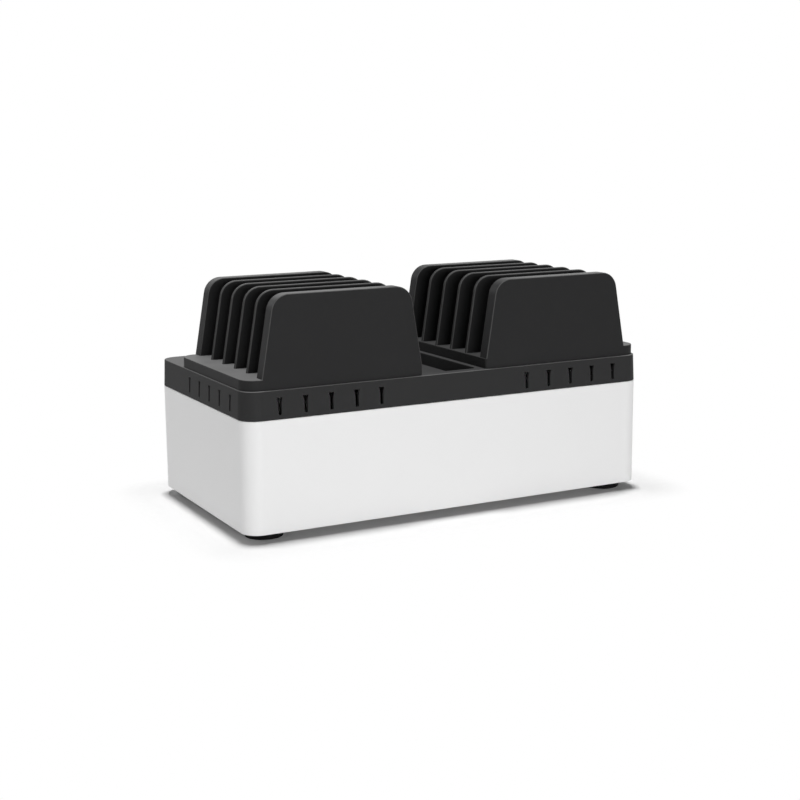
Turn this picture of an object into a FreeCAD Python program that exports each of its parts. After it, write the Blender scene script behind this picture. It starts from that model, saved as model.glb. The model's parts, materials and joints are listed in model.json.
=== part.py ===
import FreeCAD, Part
import math
import os

# A charging station organizer: a case on four feet, a lift-off deck with cable slits
# and two lift-out racks of dividers. Millimetres. X runs along the length, Y from front
# to back and Z up, and the origin is on the table under the middle of the case.

Vector = FreeCAD.Vector
UP = Vector(0, 0, 1)
BACKWARDS = Vector(0, 1, 0)
ALONG = Vector(1, 0, 0)

# Overall outline shared by the case and the deck
length = 450.0
depth = 241.0
corner_r = 17.5
seam_r = 0.8

# Working values: extra length of a cut, reach for picking edges, gap round a screw or tab
overrun = 1.0
pick_tol = 0.01
screw_gap = 0.05
slip_gap = 0.15

# Feet
foot_h = 8.0
foot_r = 18.7
foot_edge_r = 2.0
foot_inset_x = 28.0
foot_inset_y = 29.0
foot_sink_r = 6.0
foot_sink_h = 4.5
foot_screw_head_r = 4.0
foot_screw_head_h = 2.2
foot_screw_r = 1.75
foot_screw_reach = 7.0

# Case
case_h = 109.2
case_wall = 3.0
case_floor = 3.5
case_bottom_r = 0.8
foot_boss_r = 6.0
foot_boss_h = 10.0
floor_rib_count = 2
floor_rib_t = 2.0
floor_rib_h = 3.0
vent_count = 9
vent_w = 3.0
vent_h = 34.0
vent_pitch = 9.0
vent_inset = 95.0

# Bay for the mains inlet and the switch in the back wall
bay_inset = 85.0
bay_w = 112.0
bay_h = 42.0
bay_drop = 40.0
bay_sink = 6.0
bay_r = 5.0

# Mains inlet
inlet_shift = 26.0
inlet_flange_w = 50.0
inlet_flange_h = 24.0
inlet_flange_t = 3.0
inlet_flange_r = 6.0
inlet_body_w = 27.4
inlet_body_h = 19.8
inlet_body_r = 2.0
inlet_body_depth = 24.0
inlet_side_wall = 1.7
inlet_top_wall = 1.6
inlet_recess_depth = 17.0
inlet_screw_span = 40.0
inlet_screw_r = 1.5
inlet_screw_head_r = 2.9
inlet_screw_head_h = 1.3
inlet_nut_boss_r = 4.0
inlet_nut_boss_h = 6.0
pin_w = 2.0
pin_h = 4.0
pin_pitch = 14.0
pin_earth_rise = 4.0
pin_tip_sink = 5.6
pin_tail = 7.0

# Rocker switch
switch_shift = 32.0
switch_rim_w = 1.0
switch_rim_h = 0.8
switch_flange_t = 1.5
switch_flange_r = 1.5
switch_body_w = 13.0
switch_body_h = 19.4
switch_body_depth = 16.0
switch_wall = 1.2
switch_side_gap = 0.3
rocker_end_gap = 1.3
rocker_back = 3.0
rocker_front = 2.0
rocker_throw = 12.0
rocker_axis_sink = 1.2
rocker_pip_r = 1.2
rocker_pip_reach = 0.9
switch_tail_w = 4.8
switch_tail_t = 0.8
switch_tail_reach = 7.0
switch_tail_pitch = 10.0

# Outlet strip on the case floor
strip_end_gap = 36.0
strip_w = 58.0
strip_h = 26.0
strip_wall = 2.5
strip_r = 5.0
strip_back_gap = 12.0
strip_stand = 4.0
strip_stand_r = 6.0
strip_mount_inset = 21.0
strip_mount_span_y = 40.0
strip_screw_r = 1.5
strip_screw_head_r = 3.0
strip_screw_head_h = 2.0
strip_screw_reach = 5.0
strip_cover_t = 3.5
strip_cover_post_r = 4.0
strip_post_inset = 6.0
cover_screw_r = 1.3
cover_screw_head_r = 2.6
cover_screw_head_h = 1.6
cover_screw_reach = 9.0
socket_count = 10
socket_end_margin = 21.0
socket_gap = 5.0
socket_face_d = 38.0
socket_face_h = 1.5
socket_face_r = 6.0
socket_blade_gap = 12.7
socket_blade_len = 8.0
socket_blade_w = 2.2
socket_earth_r = 2.6
socket_earth_step = 9.0
bar_t = 1.2
bar_h = 7.0
bar_finger_h = 16.0
bar_finger_w = 9.0
bar_end_gap = 5.0
bar_rail_t = 2.0
bar_rail_h = 4.0
lead_r = 1.4
lead_drop_gap = 17.0
lead_entry_inset = 9.0
lead_loop = 12.0
lead_bend_share = 0.45

# Deck
deck_h = 27.8
deck_draft = 1.2
deck_wall = 3.0
deck_top = 4.0
deck_edge_r = 0.8
lip_h = 6.0
lip_wall = 2.0
lip_gap = 0.5
lip_root_h = 4.0
deck_rib_count = 3
deck_rib_t = 2.0
deck_rib_h = 5.0
deck_rib_pitch = 55.0
slit_count = 5
slit_top_drop = 7.0
slit_h = 16.9
slit_mouth_w = 5.8
slit_stem_w = 3.4
slit_mouth_h = 5.0
slit_front_pitch = 26.6
slit_front_inset = 89.1
slit_side_pitch = 27.7

# Racks: seats in the deck and the trays that drop into them
tray_gap = 72.0
tray_end_inset = 2.5
tray_front_inset = 3.5
tray_rise = 10.3
tray_seat = 1.5
tray_seat_gap = 0.5
tray_spigot_inset = 1.2
tray_outer_r = 16.0
tray_inner_r = 3.0
tray_wall = 2.5
tray_top = 3.0
tray_edge_r = 0.8
tray_rib_t = 2.0

# Middle well between the racks
well_ledge = 5.0
well_end_inset = 10.0
well_sink = 12.5
well_wall = 2.5
well_r = 6.0
well_edge_r = 0.8

# Panels and dividers of a rack
slot_count = 5
slot_clear = 27.0
divider_t = 4.0
divider_edge_r = 1.5
divider_outer_inset = 1.5
divider_inner_inset = 0.3
end_panel_t = 13.8
end_panel_wall = 2.6
end_panel_edge_r = 1.2
panel_h = 78.3
panel_outer_margin = 17.3
panel_inner_margin = 0.6
panel_outer_lean = 13.8
panel_inner_lean = 12.6
panel_corner_r = 18.0
tab_len = 26.0
tab_inset = 24.0
panel_post_h = 26.0
panel_post_inset = 34.0
panel_screw_r = 1.6
panel_screw_head_r = 3.2
panel_screw_head_h = 2.0
panel_screw_reach = 16.0
pad_r = 6.0
pad_h = 2.0
pad_post_r = 7.5
pad_inset = 22.0

# Levels and places that follow from the sizes above
case_z0 = foot_h
case_z1 = case_z0 + case_h
floor_z = case_z0 + case_floor
deck_z1 = case_z1 + deck_h
seat_z = deck_z1 - tray_seat
tray_z1 = deck_z1 + tray_rise
panel_z1 = tray_z1 + panel_h
half_length = length / 2
half_depth = depth / 2
slot_pitch = slot_clear + divider_t
tray_depth = slot_count * slot_clear + (slot_count - 1) * divider_t + 2 * end_panel_t
tray_y0 = -half_depth + tray_front_inset
tray_y1 = tray_y0 + tray_depth
tray_mid_y = (tray_y0 + tray_y1) / 2
tray_x0 = -half_length + tray_end_inset
tray_x1 = -tray_gap / 2
rack_turn = 180.0
turn_about = Vector(0, tray_mid_y, 0)
panel_post_r = (end_panel_t - end_panel_wall) / 2
panel_x0 = tray_x0 + panel_outer_margin
panel_x1 = tray_x1 - panel_inner_margin
foot_places = [(sx * (half_length - foot_inset_x), sy * (half_depth - foot_inset_y))
               for sy in (-1, 1) for sx in (-1, 1)]
bay_z = case_z1 - bay_drop
bay_x = half_length - bay_inset
inlet_x = bay_x + inlet_shift
switch_x = bay_x - switch_shift
inlet_recess_w = inlet_body_w - 2 * inlet_side_wall
inlet_recess_h = inlet_body_h - 2 * inlet_top_wall
switch_flange_w = switch_body_w + 2 * switch_rim_w
switch_flange_h = switch_body_h + 2 * switch_rim_h
rocker_h = switch_body_h - 2 * (switch_wall + rocker_end_gap)
vent_x = vent_inset - half_length
slit_front_x = half_length - slit_front_inset
bay_floor_y = half_depth - bay_sink
bay_inner_y = bay_floor_y - case_wall
strip_len = length - 2 * (case_wall + strip_end_gap)
strip_y1 = half_depth - case_wall - strip_back_gap
strip_y0 = strip_y1 - strip_w
strip_mid_y = (strip_y0 + strip_y1) / 2
strip_z0 = floor_z + strip_stand
strip_z1 = strip_z0 + strip_h
bar_z0 = strip_z0 + strip_wall
socket_pitch = (strip_len - 2 * socket_end_margin) / socket_count
socket_face_w = socket_pitch - socket_gap
socket_x = [(i - (socket_count - 1) / 2) * socket_pitch for i in range(socket_count)]
lead_entry_x = strip_len / 2 - strip_wall - lead_entry_inset


def rounded_wire(points, radii):
    """Closed wire through the points, each corner rounded by its own radius."""
    starts = []
    ends = []
    arcs = []
    count = len(points)
    for i in range(count):
        corner = points[i]
        back = (points[i - 1] - corner).normalize()
        ahead = (points[(i + 1) % count] - corner).normalize()
        if radii[i] == 0:
            starts.append(corner)
            ends.append(corner)
            arcs.append(None)
            continue
        half_angle = back.getAngle(ahead) / 2
        run = radii[i] / math.tan(half_angle)
        start = corner + back * run
        end = corner + ahead * run
        bisector = (back + ahead).normalize()
        middle = corner + bisector * (radii[i] / math.sin(half_angle) - radii[i])
        starts.append(start)
        ends.append(end)
        arcs.append(Part.Arc(start, middle, end).toShape())
    edges = []
    for i in range(count):
        if arcs[i]:
            edges.append(arcs[i])
        following = starts[(i + 1) % count]
        if (following - ends[i]).Length > pick_tol:
            edges.append(Part.LineSegment(ends[i], following).toShape())
    return Part.Wire(edges)


def prism(points, radii, sweep):
    """Solid swept along a vector from a rounded outline."""
    return Part.Face(rounded_wire(points, radii)).extrude(sweep)


def slab(x0, x1, y0, y1, z0, z1, r_low=0, r_high=None):
    """Upright slab with rounded corners: r_low at its low-X end and r_high at its high-X end."""
    if r_high is None:
        r_high = r_low
    points = [Vector(x0, y0, z0), Vector(x1, y0, z0), Vector(x1, y1, z0), Vector(x0, y1, z0)]
    return prism(points, [r_low, r_high, r_high, r_low], UP * (z1 - z0))


def wall_plate(x0, x1, y0, y1, z0, z1, r=0):
    """Plate standing in the XZ plane, thick along Y, with rounded corners."""
    points = [Vector(x0, y0, z0), Vector(x1, y0, z0), Vector(x1, y0, z1), Vector(x0, y0, z1)]
    return prism(points, [r] * len(points), BACKWARDS * (y1 - y0))


def post(x, y, z0, z1, r):
    return Part.makeCylinder(r, z1 - z0, Vector(x, y, z0), UP)


def edges_at(shape, z):
    """Edges of a shape that lie flat at one height."""
    return [e for e in shape.Edges
            if abs(e.BoundBox.ZMin - z) < pick_tol and abs(e.BoundBox.ZMax - z) < pick_tol]


def joined(pieces):
    return pieces[0].multiFuse(pieces[1:]).removeSplitter()


def single(shape):
    """The one solid of a piece."""
    if len(shape.Solids) != 1:
        raise ValueError("a piece came out as %d solids" % len(shape.Solids))
    return shape.Solids[0]


def group(shapes):
    return Part.makeCompound([single(s) for s in shapes])


def screw_up(x, y, z, head_r, head_h, shank_r, reach):
    """Pan-head screw driven upwards, its head's seat at height z."""
    shank = post(x, y, z, z + reach, shank_r)
    head = post(x, y, z - head_h, z, head_r)
    head = head.makeFillet(head_h / 2, edges_at(head, z - head_h))
    return joined([head, shank])


def screw_down(x, y, z, head_r, head_h, shank_r, reach):
    """Pan-head screw driven downwards, its head's seat at height z."""
    shank = post(x, y, z - reach, z, shank_r)
    head = post(x, y, z, z + head_h, head_r)
    head = head.makeFillet(head_h / 2, edges_at(head, z + head_h))
    return joined([head, shank])


def case_ring(inset, z0, z1):
    """Upright block with the outline of the case, drawn in by an inset."""
    return slab(-half_length + inset, half_length - inset, -half_depth + inset, half_depth - inset,
                z0, z1, corner_r - inset)


def deck_block(inset, z0, z1):
    """Block with the outline of the deck, which draws in towards its top."""
    rings = []
    for z in (z0, z1):
        drawn = inset + deck_draft * (z - case_z1) / deck_h
        x = half_length - drawn
        y = half_depth - drawn
        points = [Vector(-x, -y, z), Vector(x, -y, z), Vector(x, y, z), Vector(-x, y, z)]
        rings.append(rounded_wire(points, [corner_r - drawn] * len(points)))
    return Part.makeLoft(rings, True, True)


def base_case():
    outer = case_ring(0, case_z0, case_z1)
    outer = outer.makeFillet(case_bottom_r, edges_at(outer, case_z0))
    outer = outer.makeFillet(seam_r, edges_at(outer, case_z1))
    shell = outer.cut(case_ring(case_wall, floor_z, case_z1 + overrun))
    adds = [shell]
    cuts = []
    for x, y in foot_places:
        adds.append(post(x, y, floor_z, floor_z + foot_boss_h, foot_boss_r))
        cuts.append(post(x, y, case_z0 - overrun, case_z0 + foot_screw_reach + overrun,
                         foot_screw_r + screw_gap))
    for x, y in strip_mounts():
        adds.append(post(x, y, floor_z, strip_z0, strip_stand_r))
        cuts.append(post(x, y, strip_z0 - strip_screw_reach, strip_z0 + overrun,
                         strip_screw_r + screw_gap))
    rib_x = half_length - case_wall
    rib_y0 = -half_depth + foot_inset_y + foot_boss_r
    rib_step = (strip_y0 - rib_y0) / (floor_rib_count + 1)
    for i in range(floor_rib_count):
        y = rib_y0 + (i + 1) * rib_step
        adds.append(slab(-rib_x, rib_x, y - floor_rib_t / 2, y + floor_rib_t / 2,
                         floor_z, floor_z + floor_rib_h))
    bay_x0 = bay_x - bay_w / 2
    bay_x1 = bay_x + bay_w / 2
    bay_z0 = bay_z - bay_h / 2
    bay_z1 = bay_z + bay_h / 2
    adds.append(wall_plate(bay_x0 - case_wall, bay_x1 + case_wall, bay_inner_y, half_depth - case_wall,
                           bay_z0 - case_wall, bay_z1 + case_wall, bay_r + case_wall))
    cuts.append(wall_plate(bay_x0, bay_x1, bay_floor_y, half_depth + overrun, bay_z0, bay_z1, bay_r))
    cuts.append(wall_plate(inlet_x - inlet_body_w / 2 - slip_gap, inlet_x + inlet_body_w / 2 + slip_gap,
                           bay_inner_y - overrun, half_depth, bay_z - inlet_body_h / 2 - slip_gap,
                           bay_z + inlet_body_h / 2 + slip_gap, inlet_body_r))
    cuts.append(wall_plate(switch_x - switch_body_w / 2 - slip_gap, switch_x + switch_body_w / 2 + slip_gap,
                           bay_inner_y - overrun, half_depth, bay_z - switch_body_h / 2 - slip_gap,
                           bay_z + switch_body_h / 2 + slip_gap))
    for x in inlet_screw_x():
        adds.append(post_inwards(x, bay_inner_y, inlet_nut_boss_h, inlet_nut_boss_r))
        cuts.append(post_inwards(x, bay_floor_y, case_wall + inlet_nut_boss_h, inlet_screw_r + screw_gap))
    for i in range(vent_count):
        x = vent_x + (i - (vent_count - 1) / 2) * vent_pitch
        cuts.append(wall_plate(x - vent_w / 2, x + vent_w / 2, half_depth - case_wall - overrun,
                               half_depth + overrun, bay_z - vent_h / 2, bay_z + vent_h / 2,
                               vent_w / 2 - pick_tol))
    return single(joined(adds).cut(cuts))


def foot(x, y):
    body = post(x, y, 0, foot_h, foot_r)
    body = body.makeFillet(foot_edge_r, edges_at(body, 0))
    sink = post(x, y, -overrun, foot_sink_h, foot_sink_r)
    hole = post(x, y, 0, foot_h + overrun, foot_screw_r + screw_gap)
    return single(body.cut([sink, hole]))


def foot_screws():
    reach = foot_h - foot_sink_h + foot_screw_reach
    return group([screw_up(x, y, foot_sink_h, foot_screw_head_r, foot_screw_head_h, foot_screw_r, reach)
                  for x, y in foot_places])


def strip_mounts():
    x = strip_len / 2 - strip_mount_inset
    return [(sx * x, strip_mid_y + sy * strip_mount_span_y / 2) for sy in (-1, 1) for sx in (-1, 1)]


def strip_cover_posts():
    x = strip_len / 2 - strip_post_inset
    y = strip_w / 2 - strip_post_inset
    return [(sx * x, strip_mid_y + sy * y) for sy in (-1, 1) for sx in (-1, 0, 1)]


def bar_places():
    """Depth of the live, neutral and earth bars in the outlet strip."""
    return {"live_bar": strip_mid_y + socket_blade_gap / 2,
            "neutral_bar": strip_mid_y - socket_blade_gap / 2,
            "earth_bar": strip_mid_y}


def outlet_housing():
    half = strip_len / 2
    outer = slab(-half, half, strip_y0, strip_y1, strip_z0, strip_z1, strip_r)
    inner = slab(-half + strip_wall, half - strip_wall, strip_y0 + strip_wall, strip_y1 - strip_wall,
                 bar_z0, strip_z1 + overrun, strip_r - strip_wall)
    adds = [outer.cut(inner)]
    cuts = []
    bar_half = half - strip_wall - bar_end_gap
    rail_y = socket_blade_gap / 2 + bar_t / 2 + bar_rail_t
    adds.append(slab(-bar_half, bar_half, strip_mid_y - rail_y, strip_mid_y + rail_y,
                     bar_z0, bar_z0 + bar_rail_h))
    for y in bar_places().values():
        groove = bar_t / 2 + screw_gap
        cuts.append(slab(-bar_half - overrun, bar_half + overrun, y - groove, y + groove,
                         bar_z0, bar_z0 + bar_rail_h + overrun))
    for x, y in strip_cover_posts():
        adds.append(post(x, y, bar_z0, strip_z1, strip_cover_post_r))
        cuts.append(post(x, y, strip_z1 - cover_screw_reach, strip_z1 + overrun, cover_screw_r + screw_gap))
    for x, y in strip_mounts():
        cuts.append(post(x, y, strip_z0 - overrun, bar_z0 + overrun, strip_screw_r + screw_gap))
    return single(joined(adds).cut(cuts))


def outlet_cover():
    half = strip_len / 2
    top = strip_z1 + strip_cover_t
    plate = slab(-half, half, strip_y0, strip_y1, strip_z1, top, strip_r)
    plate = plate.makeFillet(seam_r, edges_at(plate, top))
    adds = [plate]
    cuts = []
    face_z = top + socket_face_h
    for x in socket_x:
        face = slab(x - socket_face_w / 2, x + socket_face_w / 2, strip_mid_y - socket_face_d / 2,
                    strip_mid_y + socket_face_d / 2, strip_z1, face_z, socket_face_r)
        adds.append(face.makeFillet(seam_r, edges_at(face, face_z)))
        blade_x = x + socket_earth_step / 2
        for side in (-1, 1):
            y = strip_mid_y + side * socket_blade_gap / 2
            cuts.append(slab(blade_x - socket_blade_len / 2, blade_x + socket_blade_len / 2,
                             y - socket_blade_w / 2, y + socket_blade_w / 2,
                             strip_z1 - overrun, face_z + overrun))
        cuts.append(post(blade_x - socket_earth_step, strip_mid_y, strip_z1 - overrun, face_z + overrun,
                         socket_earth_r))
    for x, y in strip_cover_posts():
        cuts.append(post(x, y, strip_z1 - overrun, top + overrun, cover_screw_r + screw_gap))
    for y in bar_places().values():
        cuts.append(post(lead_entry_x, y, strip_z1 - overrun, top + overrun, lead_r + slip_gap))
    return single(joined(adds).cut(cuts))


def outlet_bar(y, finger_shift):
    """Contact bar standing on edge, with one finger under each socket."""
    half = strip_len / 2 - strip_wall - bar_end_gap
    strip = slab(-half, half, y - bar_t / 2, y + bar_t / 2, bar_z0, bar_z0 + bar_h)
    fingers = [slab(x + finger_shift - bar_finger_w / 2, x + finger_shift + bar_finger_w / 2,
                    y - bar_t / 2, y + bar_t / 2, bar_z0, bar_z0 + bar_finger_h) for x in socket_x]
    return single(joined([strip] + fingers))


def strip_mount_screws():
    return group([screw_down(x, y, bar_z0, strip_screw_head_r, strip_screw_head_h, strip_screw_r,
                             strip_wall + strip_screw_reach) for x, y in strip_mounts()])


def cover_screws():
    top = strip_z1 + strip_cover_t
    return group([screw_down(x, y, top, cover_screw_head_r, cover_screw_head_h, cover_screw_r,
                             strip_cover_t + cover_screw_reach) for x, y in strip_cover_posts()])


def inlet_screw_x():
    return [inlet_x - inlet_screw_span / 2, inlet_x + inlet_screw_span / 2]


def inlet_face_y():
    return bay_floor_y + inlet_flange_t


def post_inwards(x, y, reach, r):
    """Round post at the bay's height that runs forwards, into the case, from depth y."""
    return Part.makeCylinder(r, reach, Vector(x, y, bay_z), -BACKWARDS)


def inlet_pins_at():
    """Pin places across the inlet: live, earth and neutral."""
    return {"live": (inlet_x - pin_pitch / 2, bay_z - pin_earth_rise / 2),
            "earth": (inlet_x, bay_z + pin_earth_rise / 2),
            "neutral": (inlet_x + pin_pitch / 2, bay_z - pin_earth_rise / 2)}


def pin_box(x, z, gap, y0, y1):
    return wall_plate(x - pin_w / 2 - gap, x + pin_w / 2 + gap, y0, y1,
                      z - pin_h / 2 - gap, z + pin_h / 2 + gap)


def power_inlet():
    face_y = inlet_face_y()
    back_y = face_y - inlet_body_depth
    flange = wall_plate(inlet_x - inlet_flange_w / 2, inlet_x + inlet_flange_w / 2, bay_floor_y, face_y,
                        bay_z - inlet_flange_h / 2, bay_z + inlet_flange_h / 2, inlet_flange_r)
    body = wall_plate(inlet_x - inlet_body_w / 2, inlet_x + inlet_body_w / 2, back_y, face_y,
                      bay_z - inlet_body_h / 2, bay_z + inlet_body_h / 2, inlet_body_r)
    cuts = [wall_plate(inlet_x - inlet_recess_w / 2, inlet_x + inlet_recess_w / 2,
                       face_y - inlet_recess_depth, face_y + overrun,
                       bay_z - inlet_recess_h / 2, bay_z + inlet_recess_h / 2, inlet_body_r)]
    for x, z in inlet_pins_at().values():
        cuts.append(pin_box(x, z, screw_gap, back_y - overrun, face_y))
    for x in inlet_screw_x():
        cuts.append(post_inwards(x, face_y + overrun, inlet_flange_t + 2 * overrun,
                                 inlet_screw_r + screw_gap))
    return single(joined([flange, body]).cut(cuts))


def inlet_pins():
    back_y = inlet_face_y() - inlet_body_depth
    return group([pin_box(x, z, 0, back_y - pin_tail, inlet_face_y() - pin_tip_sink)
                  for x, z in inlet_pins_at().values()])


def inlet_screws():
    screws = []
    for x in inlet_screw_x():
        face_y = inlet_face_y()
        shank = post_inwards(x, face_y, inlet_flange_t + case_wall + inlet_nut_boss_h / 2, inlet_screw_r)
        head = post_inwards(x, face_y + inlet_screw_head_h, inlet_screw_head_h, inlet_screw_head_r)
        screws.append(joined([head, shank]))
    return group(screws)


def rocker_axis():
    return Vector(switch_x, bay_floor_y + switch_flange_t - rocker_axis_sink, bay_z)


def rocker_pips(gap):
    """Round pin through the rocker that ends in the frame's side walls, grown by a gap."""
    half = switch_body_w / 2 - switch_wall + rocker_pip_reach + gap
    return Part.makeCylinder(rocker_pip_r + gap, 2 * half, rocker_axis() - ALONG * half, ALONG)


def switch_tails():
    """Heights of the two terminals at the back of the switch."""
    return [bay_z - switch_tail_pitch / 2, bay_z + switch_tail_pitch / 2]


def switch_frame():
    face_y = bay_floor_y + switch_flange_t
    back_y = bay_floor_y - switch_body_depth
    flange = wall_plate(switch_x - switch_flange_w / 2, switch_x + switch_flange_w / 2, bay_floor_y, face_y,
                        bay_z - switch_flange_h / 2, bay_z + switch_flange_h / 2, switch_flange_r)
    body = wall_plate(switch_x - switch_body_w / 2, switch_x + switch_body_w / 2, back_y, face_y,
                      bay_z - switch_body_h / 2, bay_z + switch_body_h / 2)
    room_w = switch_body_w / 2 - switch_wall
    room_h = switch_body_h / 2 - switch_wall
    room = wall_plate(switch_x - room_w, switch_x + room_w, back_y + switch_wall, face_y + overrun,
                      bay_z - room_h, bay_z + room_h)
    cuts = [room]
    cuts.append(rocker_pips(screw_gap))
    for z in switch_tails():
        cuts.append(switch_tail(z, screw_gap))
    return single(joined([flange, body]).cut(cuts))


def switch_tail(z, gap):
    back_y = bay_floor_y - switch_body_depth
    return wall_plate(switch_x - switch_tail_w / 2 - gap, switch_x + switch_tail_w / 2 + gap,
                      back_y - switch_tail_reach, back_y + switch_wall,
                      z - switch_tail_t / 2 - gap, z + switch_tail_t / 2 + gap)


def switch_terminals():
    return group([switch_tail(z, 0) for z in switch_tails()])


def switch_rocker():
    """Rocker with a shallow V front, drawn level and then tipped to its off stop."""
    axis = rocker_axis()
    half_w = switch_body_w / 2 - switch_wall - switch_side_gap
    half_h = rocker_h / 2
    horn = rocker_front + half_h * math.tan(math.radians(rocker_throw))
    x0 = axis.x - half_w
    profile = [(-rocker_back, -half_h), (horn, -half_h), (rocker_front, 0),
               (horn, half_h), (-rocker_back, half_h)]
    points = [Vector(x0, axis.y + y, axis.z + z) for y, z in profile]
    body = prism(points, [0] * len(points), ALONG * (2 * half_w))
    rocker = single(joined([body, rocker_pips(0)]))
    rocker.rotate(axis, ALONG, -rocker_throw)
    return rocker


def lead(points):
    """Round lead along straight runs joined by tangent arcs as large as the runs allow."""
    edges = []
    start = points[0]
    for i in range(1, len(points) - 1):
        back = points[i - 1] - points[i]
        ahead = points[i + 1] - points[i]
        reach = lead_bend_share * min(back.Length, ahead.Length)
        half_angle = back.getAngle(ahead) / 2
        radius = reach * math.tan(half_angle)
        arc_start = points[i] + back.normalize() * reach
        arc_end = points[i] + ahead.normalize() * reach
        bisector = (back + ahead).normalize()
        middle = points[i] + bisector * (radius / math.sin(half_angle) - radius)
        edges.append(Part.LineSegment(start, arc_start).toShape())
        edges.append(Part.Arc(arc_start, middle, arc_end).toShape())
        start = arc_end
    edges.append(Part.LineSegment(start, points[-1]).toShape())
    path = Part.Wire(edges)
    ring = Part.Wire(Part.makeCircle(lead_r, points[0], points[1] - points[0]))
    return path.makePipeShell([ring], True, False)


def inner_leads():
    """Leads from the inlet to the switch, and from both to the outlet bars."""
    pins = inlet_pins_at()
    bars = bar_places()
    inlet_y = inlet_face_y() - inlet_body_depth - pin_tail
    switch_y = bay_floor_y - switch_body_depth - switch_tail_reach
    low_z, high_z = switch_tails()
    live_x, live_z = pins["live"]
    loop_y = inlet_y - lead_loop
    leads = [lead([Vector(live_x, inlet_y, live_z), Vector(live_x, loop_y, live_z),
                   Vector(switch_x, loop_y, low_z), Vector(switch_x, switch_y, low_z)])]
    starts = [(Vector(switch_x, switch_y, high_z), bars["live_bar"])]
    for pin in ("neutral", "earth"):
        x, z = pins[pin]
        starts.append((Vector(x, inlet_y, z), bars[pin + "_bar"]))
    entry_z = strip_z1 + strip_cover_t + lead_drop_gap
    for start, bar_y in starts:
        leads.append(lead([start, Vector(start.x, bar_y, start.z), Vector(lead_entry_x, bar_y, entry_z),
                           Vector(lead_entry_x, bar_y, bar_z0 + bar_h)]))
    return group(leads)


def deck_frame():
    outer = deck_block(0, case_z1, deck_z1)
    outer = outer.makeFillet(deck_edge_r, edges_at(outer, deck_z1))
    outer = outer.makeFillet(seam_r, edges_at(outer, case_z1))
    under_z = deck_z1 - deck_top
    shell = outer.cut(deck_block(deck_wall, case_z1 - overrun, under_z))
    lip_outer = case_wall + lip_gap
    lip_inner = lip_outer + lip_wall
    root = case_ring(deck_wall / 2, case_z1 + seam_r, case_z1 + lip_root_h)
    lip = case_ring(lip_outer, case_z1 - lip_h, case_z1 + lip_root_h)
    bore = case_ring(lip_inner, case_z1 - lip_h - overrun, case_z1 + lip_root_h + overrun)
    adds = [shell, joined([root, lip]).cut(bore)]
    well_x = tray_gap / 2 - well_ledge
    well_y0 = tray_y0 + well_end_inset
    well_y1 = tray_y1 - well_end_inset
    well_z = deck_z1 - well_sink
    adds.append(slab(-well_x - well_wall, well_x + well_wall, well_y0 - well_wall, well_y1 + well_wall,
                     well_z - well_wall, under_z + overrun, well_r + well_wall))
    rib_y = half_depth - deck_draft - deck_wall / 2
    rib_x0 = well_x + well_wall
    for side in (-1, 1):
        for i in range(deck_rib_count):
            x = side * (rib_x0 + i * deck_rib_pitch + deck_rib_pitch / 2)
            adds.append(slab(x - deck_rib_t / 2, x + deck_rib_t / 2, -rib_y, rib_y,
                             under_z - deck_rib_h, under_z + overrun))
    left_seat = tray_block(tray_spigot_inset - tray_seat_gap, seat_z, deck_z1 + overrun)
    right_seat = left_seat.copy()
    right_seat.rotate(turn_about, UP, rack_turn)
    well = slab(-well_x, well_x, well_y0, well_y1, well_z, deck_z1 + overrun, well_r)
    body = joined(adds).cut([left_seat, right_seat, well])
    well_rim = [e for e in edges_at(body, deck_z1)
                if e.BoundBox.XMin > -well_x - pick_tol and e.BoundBox.XMax < well_x + pick_tol]
    return single(body.makeFillet(well_edge_r, well_rim).cut(slits()))


def slit_outline(place, across):
    """Funnel-shaped slit: wide mouth at the top, narrow stem with a round foot."""
    z1 = deck_z1 - slit_top_drop
    z0 = z1 - slit_h
    stem = across * (slit_stem_w / 2)
    mouth = across * (slit_mouth_w / 2)
    shoulder = UP * (slit_h - slit_mouth_h)
    foot_at = place + UP * z0
    top_at = place + UP * z1
    points = [foot_at - stem, foot_at + stem, foot_at + stem + shoulder, top_at + mouth,
              top_at - mouth, foot_at - stem + shoulder]
    foot_r_max = slit_stem_w / 2 - pick_tol
    return points, [foot_r_max, foot_r_max, 0, 0, 0, 0]


def slits():
    cutters = []
    through = deck_draft + deck_wall + 2 * overrun
    for i in range(slit_count):
        step = i - (slit_count - 1) / 2
        for side in (-1, 1):
            x = side * slit_front_x + step * slit_front_pitch
            points, radii = slit_outline(Vector(x, -half_depth - overrun, 0), ALONG)
            cutters.append(prism(points, radii, BACKWARDS * through))
            y = tray_mid_y + step * slit_side_pitch
            points, radii = slit_outline(Vector(side * (half_length + overrun), y, 0), BACKWARDS)
            cutters.append(prism(points, radii, ALONG * (-side * through)))
    return cutters


def panel_posts(y0):
    """Screw places of an end panel that starts at depth y0."""
    y = y0 + end_panel_t / 2
    return [(panel_x0 + panel_post_inset, y), (panel_x1 - panel_post_inset, y)]


def end_panel_starts():
    return [tray_y0, tray_y1 - end_panel_t]


def divider_starts():
    first = tray_y0 + end_panel_t + slot_clear
    return [first + i * slot_pitch for i in range(slot_count - 1)]


def tab_places():
    return [panel_x0 + tab_inset, panel_x1 - tab_inset - tab_len]


def pad_places():
    return [(x, y) for x in (tray_x0 + pad_inset, tray_x1 - pad_inset)
            for y in (tray_mid_y - slot_pitch, tray_mid_y + slot_pitch)]


def tray_block(inset, z0, z1):
    """Upright block with the outline of the left tray, drawn in by an inset."""
    return slab(tray_x0 + inset, tray_x1 - inset, tray_y0 + inset, tray_y1 - inset, z0, z1,
                tray_outer_r - inset, tray_inner_r - inset)


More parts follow.
